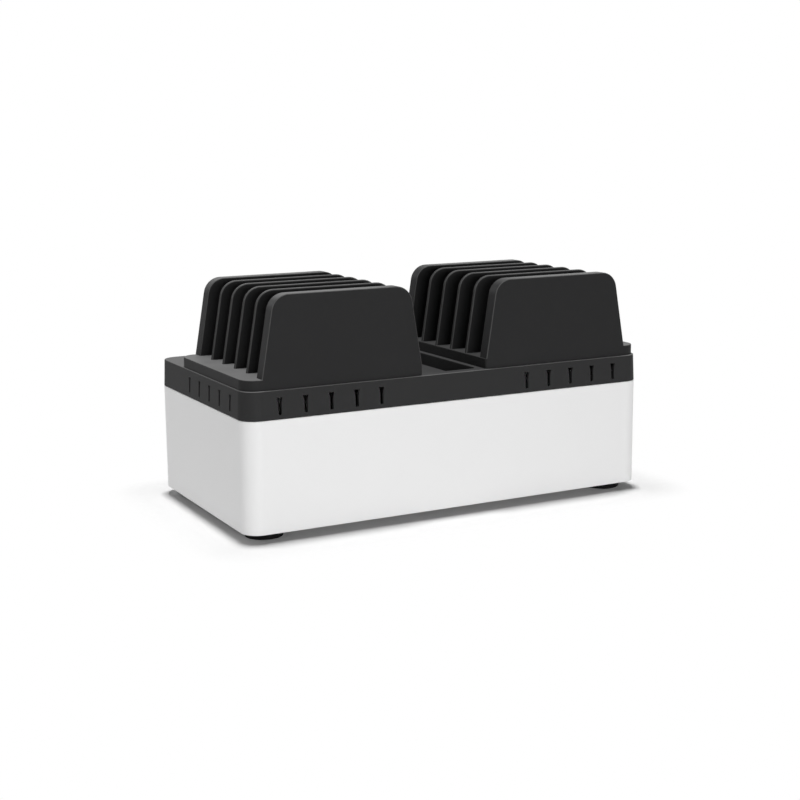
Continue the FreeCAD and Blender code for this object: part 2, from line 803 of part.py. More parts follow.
def tray_base():
    """Tray that rests on the deck, with a rim below that drops into its seat."""
    outer = tray_block(0, deck_z1, tray_z1)
    outer = outer.makeFillet(tray_edge_r, edges_at(outer, tray_z1))
    under_z = tray_z1 - tray_top
    spigot = tray_block(tray_spigot_inset, seat_z + tray_seat_gap, under_z)
    inner = tray_block(tray_wall, seat_z - overrun, under_z)
    adds = [joined([outer, spigot]).cut(inner)]
    cuts = []
    sill = 2 * tray_edge_r
    for y in (tray_y0, tray_y1 - sill):
        adds.append(slab(panel_x0 + end_panel_edge_r, panel_x1 - end_panel_edge_r, y, y + sill,
                         tray_z1 - sill, tray_z1))
    for x, y in pad_places():
        adds.append(post(x, y, seat_z + pad_h, under_z, pad_post_r))
    for start in end_panel_starts():
        for x, y in panel_posts(start):
            adds.append(post(x, y, under_z - tray_rib_t, under_z, panel_post_r))
            cuts.append(post(x, y, seat_z, tray_z1 + overrun, panel_screw_r + screw_gap))
    rib_x = tray_x1 - tray_wall
    adds.append(slab(tray_x0 + tray_wall, rib_x, tray_mid_y - tray_rib_t / 2, tray_mid_y + tray_rib_t / 2,
                     seat_z + pad_h, under_z))
    for y in divider_starts():
        for x in tab_places():
            cuts.append(slab(x - slip_gap, x + tab_len + slip_gap, y - slip_gap, y + divider_t + slip_gap,
                             under_z - overrun, tray_z1 + overrun))
    return single(joined(adds).cut(cuts))


def panel_plate(x0, x1, y0, thickness, edge_r):
    """Sloping-sided plate with rounded top corners and rounded rims on both faces."""
    points = [Vector(x0, y0, tray_z1), Vector(x1, y0, tray_z1),
              Vector(x1 - panel_inner_lean, y0, panel_z1), Vector(x0 + panel_outer_lean, y0, panel_z1)]
    plate = prism(points, [0, 0, panel_corner_r, panel_corner_r], BACKWARDS * thickness)
    rims = [e for e in plate.Edges
            if e.BoundBox.YMax - e.BoundBox.YMin < pick_tol and e.BoundBox.ZMax > tray_z1 + pick_tol]
    return plate.makeFillet(edge_r, rims)


def end_panel(y0):
    """Hollow end panel, open underneath, with two screw posts."""
    body = panel_plate(panel_x0, panel_x1, y0, end_panel_t, end_panel_edge_r)
    wall = end_panel_wall
    inside = [Vector(panel_x0 + wall, y0 + wall, tray_z1 - overrun),
              Vector(panel_x1 - wall, y0 + wall, tray_z1 - overrun),
              Vector(panel_x1 - panel_inner_lean - wall, y0 + wall, panel_z1 - wall),
              Vector(panel_x0 + panel_outer_lean + wall, y0 + wall, panel_z1 - wall)]
    inside_r = panel_corner_r - wall
    hollow = prism(inside, [0, 0, inside_r, inside_r], BACKWARDS * (end_panel_t - 2 * wall))
    adds = [body.cut(hollow)]
    cuts = []
    for x, y in panel_posts(y0):
        adds.append(post(x, y, tray_z1, tray_z1 + panel_post_h, panel_post_r))
        cuts.append(post(x, y, tray_z1 - overrun, tray_z1 + panel_screw_reach + overrun,
                         panel_screw_r + screw_gap))
    return single(joined(adds).cut(cuts))


def divider(y0):
    """Thin divider with two tabs that plug into the tray."""
    plate = panel_plate(panel_x0 + divider_outer_inset, panel_x1 - divider_inner_inset,
                        y0, divider_t, divider_edge_r)
    tabs = [slab(x, x + tab_len, y0, y0 + divider_t, tray_z1 - tray_top, tray_z1 + overrun)
            for x in tab_places()]
    return single(joined([plate] + tabs))


def panel_screws():
    seat = tray_z1 - tray_top - tray_rib_t
    reach = tray_top + tray_rib_t + panel_screw_reach
    return group([screw_up(x, y, seat, panel_screw_head_r, panel_screw_head_h, panel_screw_r, reach)
                  for start in end_panel_starts() for x, y in panel_posts(start)])


def tray_pads():
    return group([post(x, y, seat_z, seat_z + pad_h, pad_r) for x, y in pad_places()])


def left_rack():
    """Pieces of the left rack by name, from front to back."""
    front, back = end_panel_starts()
    pieces = {"tray_base": tray_base(), "front_panel": end_panel(front), "back_panel": end_panel(back)}
    for i, y in enumerate(divider_starts()):
        pieces["divider_%d" % (i + 1)] = divider(y)
    pieces["panel_screws"] = panel_screws()
    pieces["tray_pads"] = tray_pads()
    return pieces


def turned_name(name):
    """Name that a rack's piece takes when the rack is turned half round."""
    swaps = {"front_panel": "back_panel", "back_panel": "front_panel"}
    if name.startswith("divider_"):
        return "divider_%d" % (slot_count - int(name.split("_")[1]))
    return swaps.get(name, name)


def all_pieces():
    pieces = {"base_case": base_case(), "foot_screws": foot_screws()}
    for (x, y), place in zip(foot_places, ("front_left", "front_right", "back_left", "back_right")):
        pieces["foot_" + place] = foot(x, y)
    pieces["outlet_housing"] = outlet_housing()
    pieces["outlet_cover"] = outlet_cover()
    for name, y in bar_places().items():
        shift = -socket_earth_step / 2 if name == "earth_bar" else socket_earth_step / 2
        pieces[name] = outlet_bar(y, shift)
    pieces["strip_mount_screws"] = strip_mount_screws()
    pieces["cover_screws"] = cover_screws()
    pieces["power_inlet"] = power_inlet()
    pieces["inlet_pins"] = inlet_pins()
    pieces["inlet_screws"] = inlet_screws()
    pieces["switch_frame"] = switch_frame()
    pieces["switch_terminals"] = switch_terminals()
    pieces["switch_rocker"] = switch_rocker()
    pieces["inner_leads"] = inner_leads()
    pieces["deck_frame"] = deck_frame()
    for name, shape in left_rack().items():
        pieces["left_" + name] = shape
        turned = shape.copy()
        turned.rotate(turn_about, UP, rack_turn)
        pieces["right_" + turned_name(name)] = turned
    return pieces


os.makedirs("parts", exist_ok=True)
for node, shape in all_pieces().items():
    shape.exportStep("parts/%s.step" % node)
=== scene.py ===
"""Looks of a desktop charging station: shell finishes, feet, fasteners, switch, leads and studio."""

import json
import math

import bpy
from mathutils import Matrix, Vector


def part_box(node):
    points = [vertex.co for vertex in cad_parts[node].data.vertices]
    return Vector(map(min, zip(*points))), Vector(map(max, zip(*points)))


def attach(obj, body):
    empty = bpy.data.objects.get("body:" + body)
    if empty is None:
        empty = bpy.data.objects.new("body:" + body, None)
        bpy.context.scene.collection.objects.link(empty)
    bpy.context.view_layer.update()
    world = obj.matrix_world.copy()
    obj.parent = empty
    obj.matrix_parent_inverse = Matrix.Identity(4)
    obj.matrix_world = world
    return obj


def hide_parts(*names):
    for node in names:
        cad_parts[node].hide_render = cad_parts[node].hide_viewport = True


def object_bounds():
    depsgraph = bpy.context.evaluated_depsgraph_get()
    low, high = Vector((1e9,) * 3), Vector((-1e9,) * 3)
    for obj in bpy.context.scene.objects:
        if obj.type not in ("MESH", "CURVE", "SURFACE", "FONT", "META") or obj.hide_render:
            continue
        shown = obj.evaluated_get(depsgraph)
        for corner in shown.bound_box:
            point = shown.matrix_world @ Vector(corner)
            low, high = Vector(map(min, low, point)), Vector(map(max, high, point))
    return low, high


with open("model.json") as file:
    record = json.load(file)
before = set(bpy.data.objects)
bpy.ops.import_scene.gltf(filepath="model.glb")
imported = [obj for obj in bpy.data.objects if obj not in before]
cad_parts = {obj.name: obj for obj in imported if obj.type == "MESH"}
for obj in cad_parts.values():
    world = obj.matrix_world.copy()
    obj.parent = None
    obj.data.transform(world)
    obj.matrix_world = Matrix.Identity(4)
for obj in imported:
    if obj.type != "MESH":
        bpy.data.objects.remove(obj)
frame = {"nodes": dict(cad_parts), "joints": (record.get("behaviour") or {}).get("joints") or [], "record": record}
cad_low, cad_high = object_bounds()

bl_info = {
    "name": "Charging station",
    "version": (1, 0, 0),
    "blender": (4, 5, 0),
    "location": "View3D > Sidebar > Station",
    "description": "Dresses the charging station with its finishes, fasteners and studio",
    "category": "Object",
}

MM = 0.001
MERGE_GAP = 0.001 * MM
SMOOTH_ANGLE = math.radians(35)
ARC_STEPS = 5
PIT_DEPTH = 0.03 * MM
DRAWN_LINE_DEPTH = 0.02 * MM
DRAWN_LINE_BUMP = 0.2
DRAWN_LINE_STRETCH = 0.06
BOOT_EDGE_SHARE = 0.8
FLOOR_SIDE = 16.0

FEET = ("foot_front_left", "foot_front_right", "foot_back_left", "foot_back_right")
RACK_SIDES = ("left", "right")

# Radius and height of each kind of screw's head, and the radius of its shank
SCREW_SIZES = {
    "foot": (4.0 * MM, 2.2 * MM, 1.75 * MM),
    "strip_mount": (3.0 * MM, 2.0 * MM, 1.5 * MM),
    "cover": (2.6 * MM, 1.6 * MM, 1.3 * MM),
    "inlet": (2.9 * MM, 1.3 * MM, 1.5 * MM),
    "panel": (3.2 * MM, 2.0 * MM, 1.6 * MM),
}


class StationColours(bpy.types.PropertyGroup):
    """Colours of the station's finishes and of the floor."""

    case_white: bpy.props.FloatVectorProperty(
        name="Case white", description="Moulded lower case", subtype="COLOR", min=0, max=1,
        default=(0.86, 0.86, 0.86))
    deck_charcoal: bpy.props.FloatVectorProperty(
        name="Deck charcoal", description="Slit deck", subtype="COLOR", min=0, max=1,
        default=(0.034, 0.034, 0.0345))
    rack_charcoal: bpy.props.FloatVectorProperty(
        name="Rack charcoal", description="Trays, end panels and dividers", subtype="COLOR", min=0, max=1,
        default=(0.026, 0.026, 0.0265))
    # Paler grey that paints top light on upward faces and a highlight along the deck's top edge
    painted_light_grey: bpy.props.FloatVectorProperty(
        name="Painted light grey", description="Painted top light on upward faces and painted highlight on the deck's edge", subtype="COLOR",
        min=0, max=1, default=(0.15, 0.15, 0.15))
    # Paler grey that paints highlights on the racks' rounded edges
    painted_highlight_grey: bpy.props.FloatVectorProperty(
        name="Highlight grey", description="Painted highlight on the racks' rounded edges", subtype="COLOR",
        min=0, max=1, default=(0.09, 0.09, 0.09))
    rubber_black: bpy.props.FloatVectorProperty(
        name="Rubber black", description="Feet and tray pads", subtype="COLOR", min=0, max=1,
        default=(0.004, 0.004, 0.004))
    strip_grey: bpy.props.FloatVectorProperty(
        name="Strip grey", description="Outlet strip", subtype="COLOR", min=0, max=1,
        default=(0.07, 0.07, 0.074))
    inlet_black: bpy.props.FloatVectorProperty(
        name="Inlet black", description="Mains inlet and switch", subtype="COLOR", min=0, max=1,
        default=(0.012, 0.012, 0.013))
    contact_brass: bpy.props.FloatVectorProperty(
        name="Contact brass", description="Pins, bars and terminals", subtype="COLOR", min=0, max=1,
        default=(0.72, 0.55, 0.28))
    screw_steel: bpy.props.FloatVectorProperty(
        name="Screw steel", description="Plated screws", subtype="COLOR", min=0, max=1,
        default=(0.56, 0.56, 0.58))
    live_lead: bpy.props.FloatVectorProperty(
        name="Live lead", description="Sheath of the live leads", subtype="COLOR", min=0, max=1,
        default=(0.02, 0.02, 0.02))
    neutral_lead: bpy.props.FloatVectorProperty(
        name="Neutral lead", description="Sheath of the neutral lead", subtype="COLOR", min=0, max=1,
        default=(0.72, 0.71, 0.68))
    earth_lead: bpy.props.FloatVectorProperty(
        name="Earth lead", description="Sheath of the earth lead", subtype="COLOR", min=0, max=1,
        default=(0.03, 0.24, 0.07))
    sleeve_grey: bpy.props.FloatVectorProperty(
        name="Sleeve grey", description="Sleeves over the leads' terminals", subtype="COLOR", min=0, max=1,
        default=(0.45, 0.45, 0.46))
    mark_white: bpy.props.FloatVectorProperty(
        name="Mark white", description="On and off marks of the switch", subtype="COLOR", min=0, max=1,
        default=(0.8, 0.8, 0.8))
    floor_grey: bpy.props.FloatVectorProperty(
        name="Floor grey", description="Studio floor next to the station", subtype="COLOR", min=0, max=1,
        default=(0.7, 0.7, 0.7))


class StationDetails(bpy.types.PropertyGroup):
    """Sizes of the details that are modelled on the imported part."""

    shell_grain: bpy.props.FloatProperty(
        name="Shell grain", description="Width of the moulded texture's grains", unit="LENGTH",
        default=0.5 * MM)
    shell_gloss: bpy.props.FloatProperty(
        name="Shell gloss", description="Specular level of the charcoal shells", subtype="FACTOR",
        min=0, max=1, default=0.03)
    # Strength of the painted top light on upward faces of the deck and the racks
    deck_top_light: bpy.props.FloatProperty(
        name="Deck top light", description="How strongly painted top light lightens the deck's upward faces", subtype="FACTOR",
        min=0, max=1, default=0.66)
    rack_top_light: bpy.props.FloatProperty(
        name="Rack top light", description="How strongly painted top light lightens the racks' upward faces", subtype="FACTOR",
        min=0, max=1, default=0.9)
    # Strength of the painted highlight on the shells' rounded edges
    edge_highlight: bpy.props.FloatProperty(
        name="Edge highlight", description="How strongly the shells' edges carry a painted highlight", subtype="FACTOR",
        min=0, max=1, default=0.8)
    groove_width: bpy.props.FloatProperty(
        name="Foot groove width", description="Width of the rings under a foot", unit="LENGTH",
        default=1.4 * MM)
    groove_depth: bpy.props.FloatProperty(
        name="Foot groove depth", description="Depth of the rings under a foot", unit="LENGTH",
        default=1.0 * MM)
    foot_edge: bpy.props.FloatProperty(
        name="Foot edge", description="Rounding of a foot's lower rim", unit="LENGTH", default=1.0 * MM)
    foot_hole_radius: bpy.props.FloatProperty(
        name="Foot hole radius", description="Hole for the screw's shank", unit="LENGTH", default=1.8 * MM)
    foot_sink_radius: bpy.props.FloatProperty(
        name="Foot sink radius", description="Pocket for the screw's head", unit="LENGTH",
        default=6.0 * MM)
    foot_sink_depth: bpy.props.FloatProperty(
        name="Foot sink depth", description="Depth of the pocket for the screw's head", unit="LENGTH",
        default=4.5 * MM)
    recess_share: bpy.props.FloatProperty(
        name="Recess share", description="Cross recess against the screw head's width", subtype="FACTOR",
        min=0, max=1, default=0.62)
    recess_arm_share: bpy.props.FloatProperty(
        name="Recess arm share", description="Arm of the cross against the head's width",
        subtype="FACTOR", min=0, max=1, default=0.17)
    recess_depth_share: bpy.props.FloatProperty(
        name="Recess depth share", description="Depth of the cross against the head's height",
        subtype="FACTOR", min=0, max=1, default=0.6)
    contact_edge: bpy.props.FloatProperty(
        name="Contact edge", description="Rounding of pins, bars and terminals", unit="LENGTH",
        default=0.25 * MM)
    mark_height: bpy.props.FloatProperty(
        name="Mark height", description="Height of the on and off marks", unit="LENGTH",
        default=3.4 * MM)
    mark_stroke: bpy.props.FloatProperty(
        name="Mark stroke", description="Line width of the on and off marks", unit="LENGTH",
        default=0.6 * MM)
    mark_proud: bpy.props.FloatProperty(
        name="Mark proud", description="How far the marks stand off the rocker", unit="LENGTH",
        default=0.05 * MM)
    lead_radius: bpy.props.FloatProperty(
        name="Lead radius", description="Radius of an inner lead's sheath", unit="LENGTH",
        default=1.4 * MM)
    boot_wall: bpy.props.FloatProperty(
        name="Boot wall", description="Wall of the sleeve over a terminal", unit="LENGTH",
        default=0.9 * MM)
    boot_back: bpy.props.FloatProperty(
        name="Boot back", description="How far a sleeve covers the lead", unit="LENGTH", default=2.0 * MM)
    boot_reach: bpy.props.FloatProperty(
        name="Boot reach", description="How far a sleeve covers the terminal", unit="LENGTH",
        default=6.0 * MM)


class StationStudio(bpy.types.PropertyGroup):
    """Camera and light of the studio."""

    lens: bpy.props.FloatProperty(
        name="Lens", description="Focal length for a square picture", unit="CAMERA", default=64.91)
    azimuth: bpy.props.FloatProperty(
        name="Azimuth", description="Camera's turn round the station", subtype="ANGLE",
        default=math.radians(-27.76))
    elevation: bpy.props.FloatProperty(
        name="Elevation", description="Camera's height above the horizon", subtype="ANGLE",
        default=math.radians(10.83))
    roll: bpy.props.FloatProperty(
        name="Roll", description="Camera's lean", subtype="ANGLE", default=math.radians(-0.5))
    distance: bpy.props.FloatProperty(
        name="Distance", description="From the camera to the point it aims at", unit="LENGTH",
        default=1.5361)
    aim_height: bpy.props.FloatProperty(
        name="Aim height", description="Height of the point that the camera aims at", unit="LENGTH",
        default=0.0975)
    sky: bpy.props.FloatProperty(
        name="Sky", description="Strength of the light from all round", subtype="FACTOR", min=0, max=1,
        default=0.04)
    top_place: bpy.props.FloatVectorProperty(
        name="Top place", description="Middle of the overhead soft box", subtype="TRANSLATION",
        unit="LENGTH", default=(0.12, 0.34, 8.0))
    top_size: bpy.props.FloatVectorProperty(
        name="Top size", description="Sides of the overhead soft box", size=2, unit="LENGTH",
        default=(0.7, 1.0))
    top_power: bpy.props.FloatProperty(
        name="Top power", description="Power of the overhead soft box", unit="POWER", default=640.0)
    key_place: bpy.props.FloatVectorProperty(
        name="Key place", description="Middle of the front soft box", subtype="TRANSLATION",
        unit="LENGTH", default=(-0.3, -2.14, 0.38))
    key_size: bpy.props.FloatVectorProperty(
        name="Key size", description="Sides of the front soft box", size=2, unit="LENGTH",
        default=(1.2, 0.4))
    key_power: bpy.props.FloatProperty(
        name="Key power", description="Power of the front soft box", unit="POWER", default=21.3)
    side_place: bpy.props.FloatVectorProperty(
        name="Side place", description="Middle of the soft box at the left end", subtype="TRANSLATION",
        unit="LENGTH", default=(-2.0, 0.0, 0.6))
    side_size: bpy.props.FloatVectorProperty(
        name="Side size", description="Sides of the soft box at the left end", size=2, unit="LENGTH",
        default=(0.8, 0.6))
    side_power: bpy.props.FloatProperty(
        name="Side power", description="Power of the soft box at the left end", unit="POWER", default=2.5)
    back_place: bpy.props.FloatVectorProperty(
        name="Back place", description="Middle of the soft box behind the station", subtype="TRANSLATION",
        unit="LENGTH", default=(-0.9, 2.0, 0.9))
    back_size: bpy.props.FloatVectorProperty(
        name="Back size", description="Sides of the soft box behind the station", size=2, unit="LENGTH",
        default=(1.2, 0.5))
    back_power: bpy.props.FloatProperty(
        name="Back power", description="Power of the soft box behind the station", unit="POWER",
        default=10.0)
    floor_near: bpy.props.FloatProperty(
        name="Floor near", description="How far from the station the floor begins to fade to white",
        unit="LENGTH", default=0.005)
    floor_far: bpy.props.FloatProperty(
        name="Floor far", description="How far from the station the floor is all white", unit="LENGTH",
        default=0.06)


def deselect_everything():
    bpy.ops.object.select_all(action="DESELECT")


def pick(*pieces):
    """Selects only these objects and makes the first one active."""
    deselect_everything()
    for piece in pieces:
        piece.select_set(True)
    bpy.context.view_layer.objects.active = pieces[0]


def named(piece, name):
    piece.name = name
    piece.data.name = name
    return piece


def settle(piece):
    """Puts the object's place, turn and scale into its mesh."""
    pick(piece)
    bpy.ops.object.transform_apply(location=True, rotation=True, scale=True)


def smooth(piece):
    pick(piece)
    bpy.ops.object.shade_smooth_by_angle(angle=SMOOTH_ANGLE)


def apply_modifier(piece, kind, **values):
    """Adds a modifier with these values and applies it."""
    pick(piece)
    modifier = piece.modifiers.new(kind.title(), kind)
    for key, value in values.items():
        setattr(modifier, key, value)
    bpy.ops.object.modifier_apply(modifier=modifier.name)


def quarter_arc(middle, radius, start):
    """Points of a quarter circle that turns clockwise from the start angle."""
    turns = [start - math.pi / 2 * i / ARC_STEPS for i in range(ARC_STEPS + 1)]
    return [(middle[0] + radius * math.cos(turn), middle[1] + radius * math.sin(turn)) for turn in turns]


def spun(name, profile, steps):
    """Solid of revolution about Z: one point is extruded along the profile and spun full round."""
    deselect_everything()
    bpy.ops.mesh.primitive_plane_add(size=MM)
    piece = named(bpy.context.object, name)
    bpy.ops.object.mode_set(mode="EDIT")
    bpy.ops.mesh.select_all(action="SELECT")
    bpy.ops.mesh.merge(type="CENTER")
    bpy.ops.transform.translate(value=(profile[0][0], 0, profile[0][1]))
    for (r0, z0), (r1, z1) in zip(profile, profile[1:]):
        bpy.ops.mesh.extrude_region_move(TRANSFORM_OT_translate={"value": (r1 - r0, 0, z1 - z0)})
    bpy.ops.mesh.select_all(action="SELECT")
    bpy.ops.mesh.spin(steps=steps, angle=math.tau, center=(0, 0, 0), axis=(0, 0, 1))
    bpy.ops.mesh.select_all(action="SELECT")
    bpy.ops.mesh.remove_doubles(threshold=MERGE_GAP)
    bpy.ops.mesh.normals_make_consistent(inside=False)
    bpy.ops.object.mode_set(mode="OBJECT")
    return piece


def rounded_block(name, low, high, edge):
    """Block between two corners with its edges bevelled."""
    deselect_everything()
    low, high = Vector(low), Vector(high)
    bpy.ops.mesh.primitive_cube_add(size=1, location=(low + high) / 2, scale=high - low)
    piece = named(bpy.context.object, name)
    settle(piece)
    bpy.ops.object.mode_set(mode="EDIT")
    bpy.ops.mesh.select_all(action="SELECT")
    bpy.ops.mesh.bevel(offset=edge, segments=3, affect="EDGES")
    bpy.ops.object.mode_set(mode="OBJECT")
    smooth(piece)
    return piece


def copies(piece, name, places):
    """One object made of copies of a piece, each turned and moved by its own matrix."""
    made = []
    for place in places:
        pick(piece)
        bpy.ops.object.duplicate(linked=False)
        copy = bpy.context.object
        copy.matrix_world = place
        settle(copy)
        made.append(copy)
    pick(*made)
    bpy.ops.object.join()
    whole = named(bpy.context.object, name)
    bpy.data.objects.remove(piece)
    return whole


def dress(piece, material, body=None, replaced=()):
    """Gives a piece its finish and, if it is new, its body and the nodes it stands for."""
    piece.data.materials.clear()
    piece.data.materials.append(material)
    if body:
        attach(piece, body)
    if replaced:
        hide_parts(*replaced)


def feed(tree, value, socket):
    """Links an output to a socket, or sets a plain value on it."""
    if isinstance(value, bpy.types.NodeSocket):
        tree.links.new(value, socket)
    else:
        socket.default_value = value


def step(tree, operation, *values):
    """Math node on outputs or plain numbers."""
    node = tree.nodes.new("ShaderNodeMath")
    node.operation = operation
    for value, socket in zip(values, node.inputs):
        feed(tree, value, socket)
    return node.outputs[0]


def vector_step(tree, operation, *values):
    """Vector Math node on outputs or plain vectors; gives all its outputs."""
    node = tree.nodes.new("ShaderNodeVectorMath")
    node.operation = operation
    for value, socket in zip(values, node.inputs):
        feed(tree, value, socket)
    return node.outputs


def ramp(tree, value, start=0.0, end=1.0, low=0.0, high=1.0, curve="SMOOTHSTEP"):
    """Value from low at the start to high at the end, each an output or a plain number."""
    node = tree.nodes.new("ShaderNodeMapRange")
    node.interpolation_type = curve
    given = {"Value": value, "From Min": start, "From Max": end, "To Min": low, "To Max": high}
    for name, number in given.items():
        feed(tree, number, node.inputs[name])
    return node.outputs["Result"]


def noise(tree, place, detail):
    """Soft noise whose grains are one unit wide."""
    node = tree.nodes.new("ShaderNodeTexNoise")
    node.inputs["Scale"].default_value = 1.0
    node.inputs["Detail"].default_value = detail
    feed(tree, place, node.inputs["Vector"])
    return node.outputs["Fac"]


def object_place(tree):
    return tree.nodes.new("ShaderNodeTexCoord").outputs["Object"]


def object_grid(tree, size):
    """Object coordinates counted in grains of the given size."""
    scaled = tree.nodes.new("ShaderNodeVectorMath")
    scaled.operation = "SCALE"
    feed(tree, object_place(tree), scaled.inputs[0])
    feed(tree, step(tree, "DIVIDE", 1.0, size), scaled.inputs["Scale"])
    return scaled.outputs[0]


def face_parts(tree):
    """X, Y and Z of the way a face looks."""
    parts = tree.nodes.new("ShaderNodeSeparateXYZ")
    feed(tree, tree.nodes.new("ShaderNodeNewGeometry").outputs["Normal"], parts.inputs["Vector"])
    return parts.outputs


def mixed_colour(tree, first, second, factor, blend="MIX"):
    """Mix of two colours, each an output or a plain colour."""
    node = tree.nodes.new("ShaderNodeMix")
    node.data_type = "RGBA"
    node.blend_type = blend
    feed(tree, factor, node.inputs["Factor"])
    for colour, socket in zip((first, second), [s for s in node.inputs if s.type == "RGBA"]):
        feed(tree, colour, socket)
    return [s for s in node.outputs if s.type == "RGBA"][0]


def bumped(tree, height, strength, depth):
    """Normal of a surface with this height."""
    node = tree.nodes.new("ShaderNodeBump")
    node.inputs["Strength"].default_value = strength
    node.inputs["Distance"].default_value = depth
    feed(tree, height, node.inputs["Height"])
    return node.outputs["Normal"]


def new_group(name, inputs, outputs):
    """New shader node group of number sockets: its tree, the inputs given and the outputs to feed."""
    tree = bpy.data.node_groups.new(name, "ShaderNodeTree")
    for key, default in inputs.items():
        socket = tree.interface.new_socket(name=key, in_out="INPUT", socket_type="NodeSocketFloat")
        socket.default_value = default
    for key in outputs:
        tree.interface.new_socket(name=key, in_out="OUTPUT", socket_type="NodeSocketFloat")
    return tree, tree.nodes.new("NodeGroupInput").outputs, tree.nodes.new("NodeGroupOutput").inputs


def moulded_grain(name):
    """Spark-eroded mould texture: fine pits for the bump, and a soft change of tone and sheen."""
    tree, given, made = new_group(
        name, {"Grain": 0.5 * MM, "Patch": 60 * MM, "Tone Change": 0.05, "Roughness": 0.5,
               "Roughness Change": 0.06}, ("Height", "Tone", "Roughness"))
    feed(tree, noise(tree, object_grid(tree, given["Grain"]), detail=2.0), made["Height"])
    patches = noise(tree, object_grid(tree, given["Patch"]), detail=3.0)
    centred = step(tree, "SUBTRACT", patches, 0.5)
    feed(tree, step(tree, "MULTIPLY_ADD", centred, given["Tone Change"], 1.0), made["Tone"])
    sheen = step(tree, "MULTIPLY_ADD", centred, given["Roughness Change"], given["Roughness"])
    feed(tree, sheen, made["Roughness"])
    return tree


def painted_top_light(name):
    """Painted top light on faces that look up, as a mask: patchy, and weaker towards the middle, where it paints
    the shade between the racks.
    """
    tree, given, made = new_group(
        name, {"Amount": 0.5, "Steepest": 0.5, "Middle Share": 0.15, "Middle Reach": 38 * MM,
               "End Reach": 100 * MM, "Patch": 30 * MM, "Faintest": 0.8, "Fullest": 1.2}, ("Mask",))
    # Paler where a face looks up: painted top light
    upward = ramp(tree, face_parts(tree)["Z"], given["Steepest"])
    patches = noise(tree, object_grid(tree, given["Patch"]), detail=4.0)
    patch_level = ramp(tree, patches, low=given["Faintest"], high=given["Fullest"], curve="LINEAR")
    place = tree.nodes.new("ShaderNodeSeparateXYZ")
    feed(tree, object_place(tree), place.inputs["Vector"])
    off_middle = step(tree, "ABSOLUTE", place.outputs["X"])
    # Weaker near the middle: painted shade between the racks
    spread = ramp(tree, off_middle, given["Middle Reach"], given["End Reach"], given["Middle Share"])
    lit_share = step(tree, "MULTIPLY", step(tree, "MULTIPLY", upward, patch_level), spread)
    feed(tree, step(tree, "MINIMUM", step(tree, "MULTIPLY", lit_share, given["Amount"]), 1.0), made["Mask"])
    return tree


def painted_edge_highlight(name):
    """Painted highlight on the rounded front and back edges, as a mask read from the way a face looks."""
    tree, given, made = new_group(
        name, {"Amount": 0.8, "Upright Share": 0.0, "Least Lean": 0.15, "Full Lean": 0.5}, ("Mask",))
    face = face_parts(tree)
    endwise = step(tree, "MULTIPLY", step(tree, "ABSOLUTE", face["X"]), given["Upright Share"])
    across = step(tree, "MAXIMUM", face["Z"], endwise)
    lean = step(tree, "MINIMUM", step(tree, "ABSOLUTE", face["Y"]), across)
    rounded = ramp(tree, lean, given["Least Lean"], given["Full Lean"])
    feed(tree, step(tree, "MULTIPLY", rounded, given["Amount"]), made["Mask"])
    return tree


def drawn_metal(name):
    """Fine lines of drawn or rolled metal along X, as a height and a roughness."""
    tree, given, made = new_group(
        name, {"Line": 0.3 * MM, "Roughness": 0.3, "Roughness Change": 0.12}, ("Height", "Roughness"))
    stretched = tree.nodes.new("ShaderNodeMapping")
    stretched.inputs["Scale"].default_value = (DRAWN_LINE_STRETCH, 1.0, 1.0)
    feed(tree, object_grid(tree, given["Line"]), stretched.inputs["Vector"])
    lines = noise(tree, stretched.outputs["Vector"], detail=3.0)
    feed(tree, lines, made["Height"])
    sheen = step(tree, "MULTIPLY_ADD", lines, given["Roughness Change"], given["Roughness"])
    feed(tree, sheen, made["Roughness"])
    return tree


def effect(tree, name, build, values):
    """Places a node group, built once for all materials, with values of its own; gives its outputs."""
    node = tree.nodes.new("ShaderNodeGroup")
    node.node_tree = bpy.data.node_groups.get(name) or build(name)
    for key, value in values.items():
        node.inputs[key].default_value = value
    return node.outputs


def new_finish(name):
    """New material; gives it with its node tree and its shader's inputs."""
    material = bpy.data.materials.new(name)
    material.use_nodes = True
    return material, material.node_tree, material.node_tree.nodes["Principled BSDF"].inputs


def moulded_finish(name, colour, roughness, grain, bump=0.15, tone=0.08, specular=0.5):
    """Moulded plastic or rubber: one colour that shifts a little in tone, with a fine pitted skin."""
    material, tree, shader = new_finish(name)
    shader["Specular IOR Level"].default_value = specular
    skin = effect(tree, "Moulded grain", moulded_grain,
                  {"Grain": grain, "Tone Change": tone, "Roughness": roughness})
    toned = mixed_colour(tree, (*colour, 1), skin["Tone"], 1.0, "MULTIPLY")
    feed(tree, toned, shader["Base Color"])
    feed(tree, skin["Roughness"], shader["Roughness"])
    feed(tree, bumped(tree, skin["Height"], bump, PIT_DEPTH), shader["Normal"])
    return material


def metal_finish(name, colour, roughness):
    """Bare metal with fine drawing lines."""
    material, tree, shader = new_finish(name)
    shader["Base Color"].default_value = (*colour, 1)
    shader["Metallic"].default_value = 1.0
    drawn = effect(tree, "Drawn metal", drawn_metal, {"Roughness": roughness})
    feed(tree, drawn["Roughness"], shader["Roughness"])
    feed(tree, bumped(tree, drawn["Height"], DRAWN_LINE_BUMP, DRAWN_LINE_DEPTH), shader["Normal"])
    return material


def overlay(material, colour, name, build, values):
    """Lays a second colour over a moulded finish where an effect's mask says so."""
    tree = material.node_tree
    base = tree.nodes["Principled BSDF"].inputs["Base Color"]
    mask = effect(tree, name, build, values)["Mask"]
    feed(tree, mixed_colour(tree, base.links[0].from_socket, (*colour, 1), mask), base)


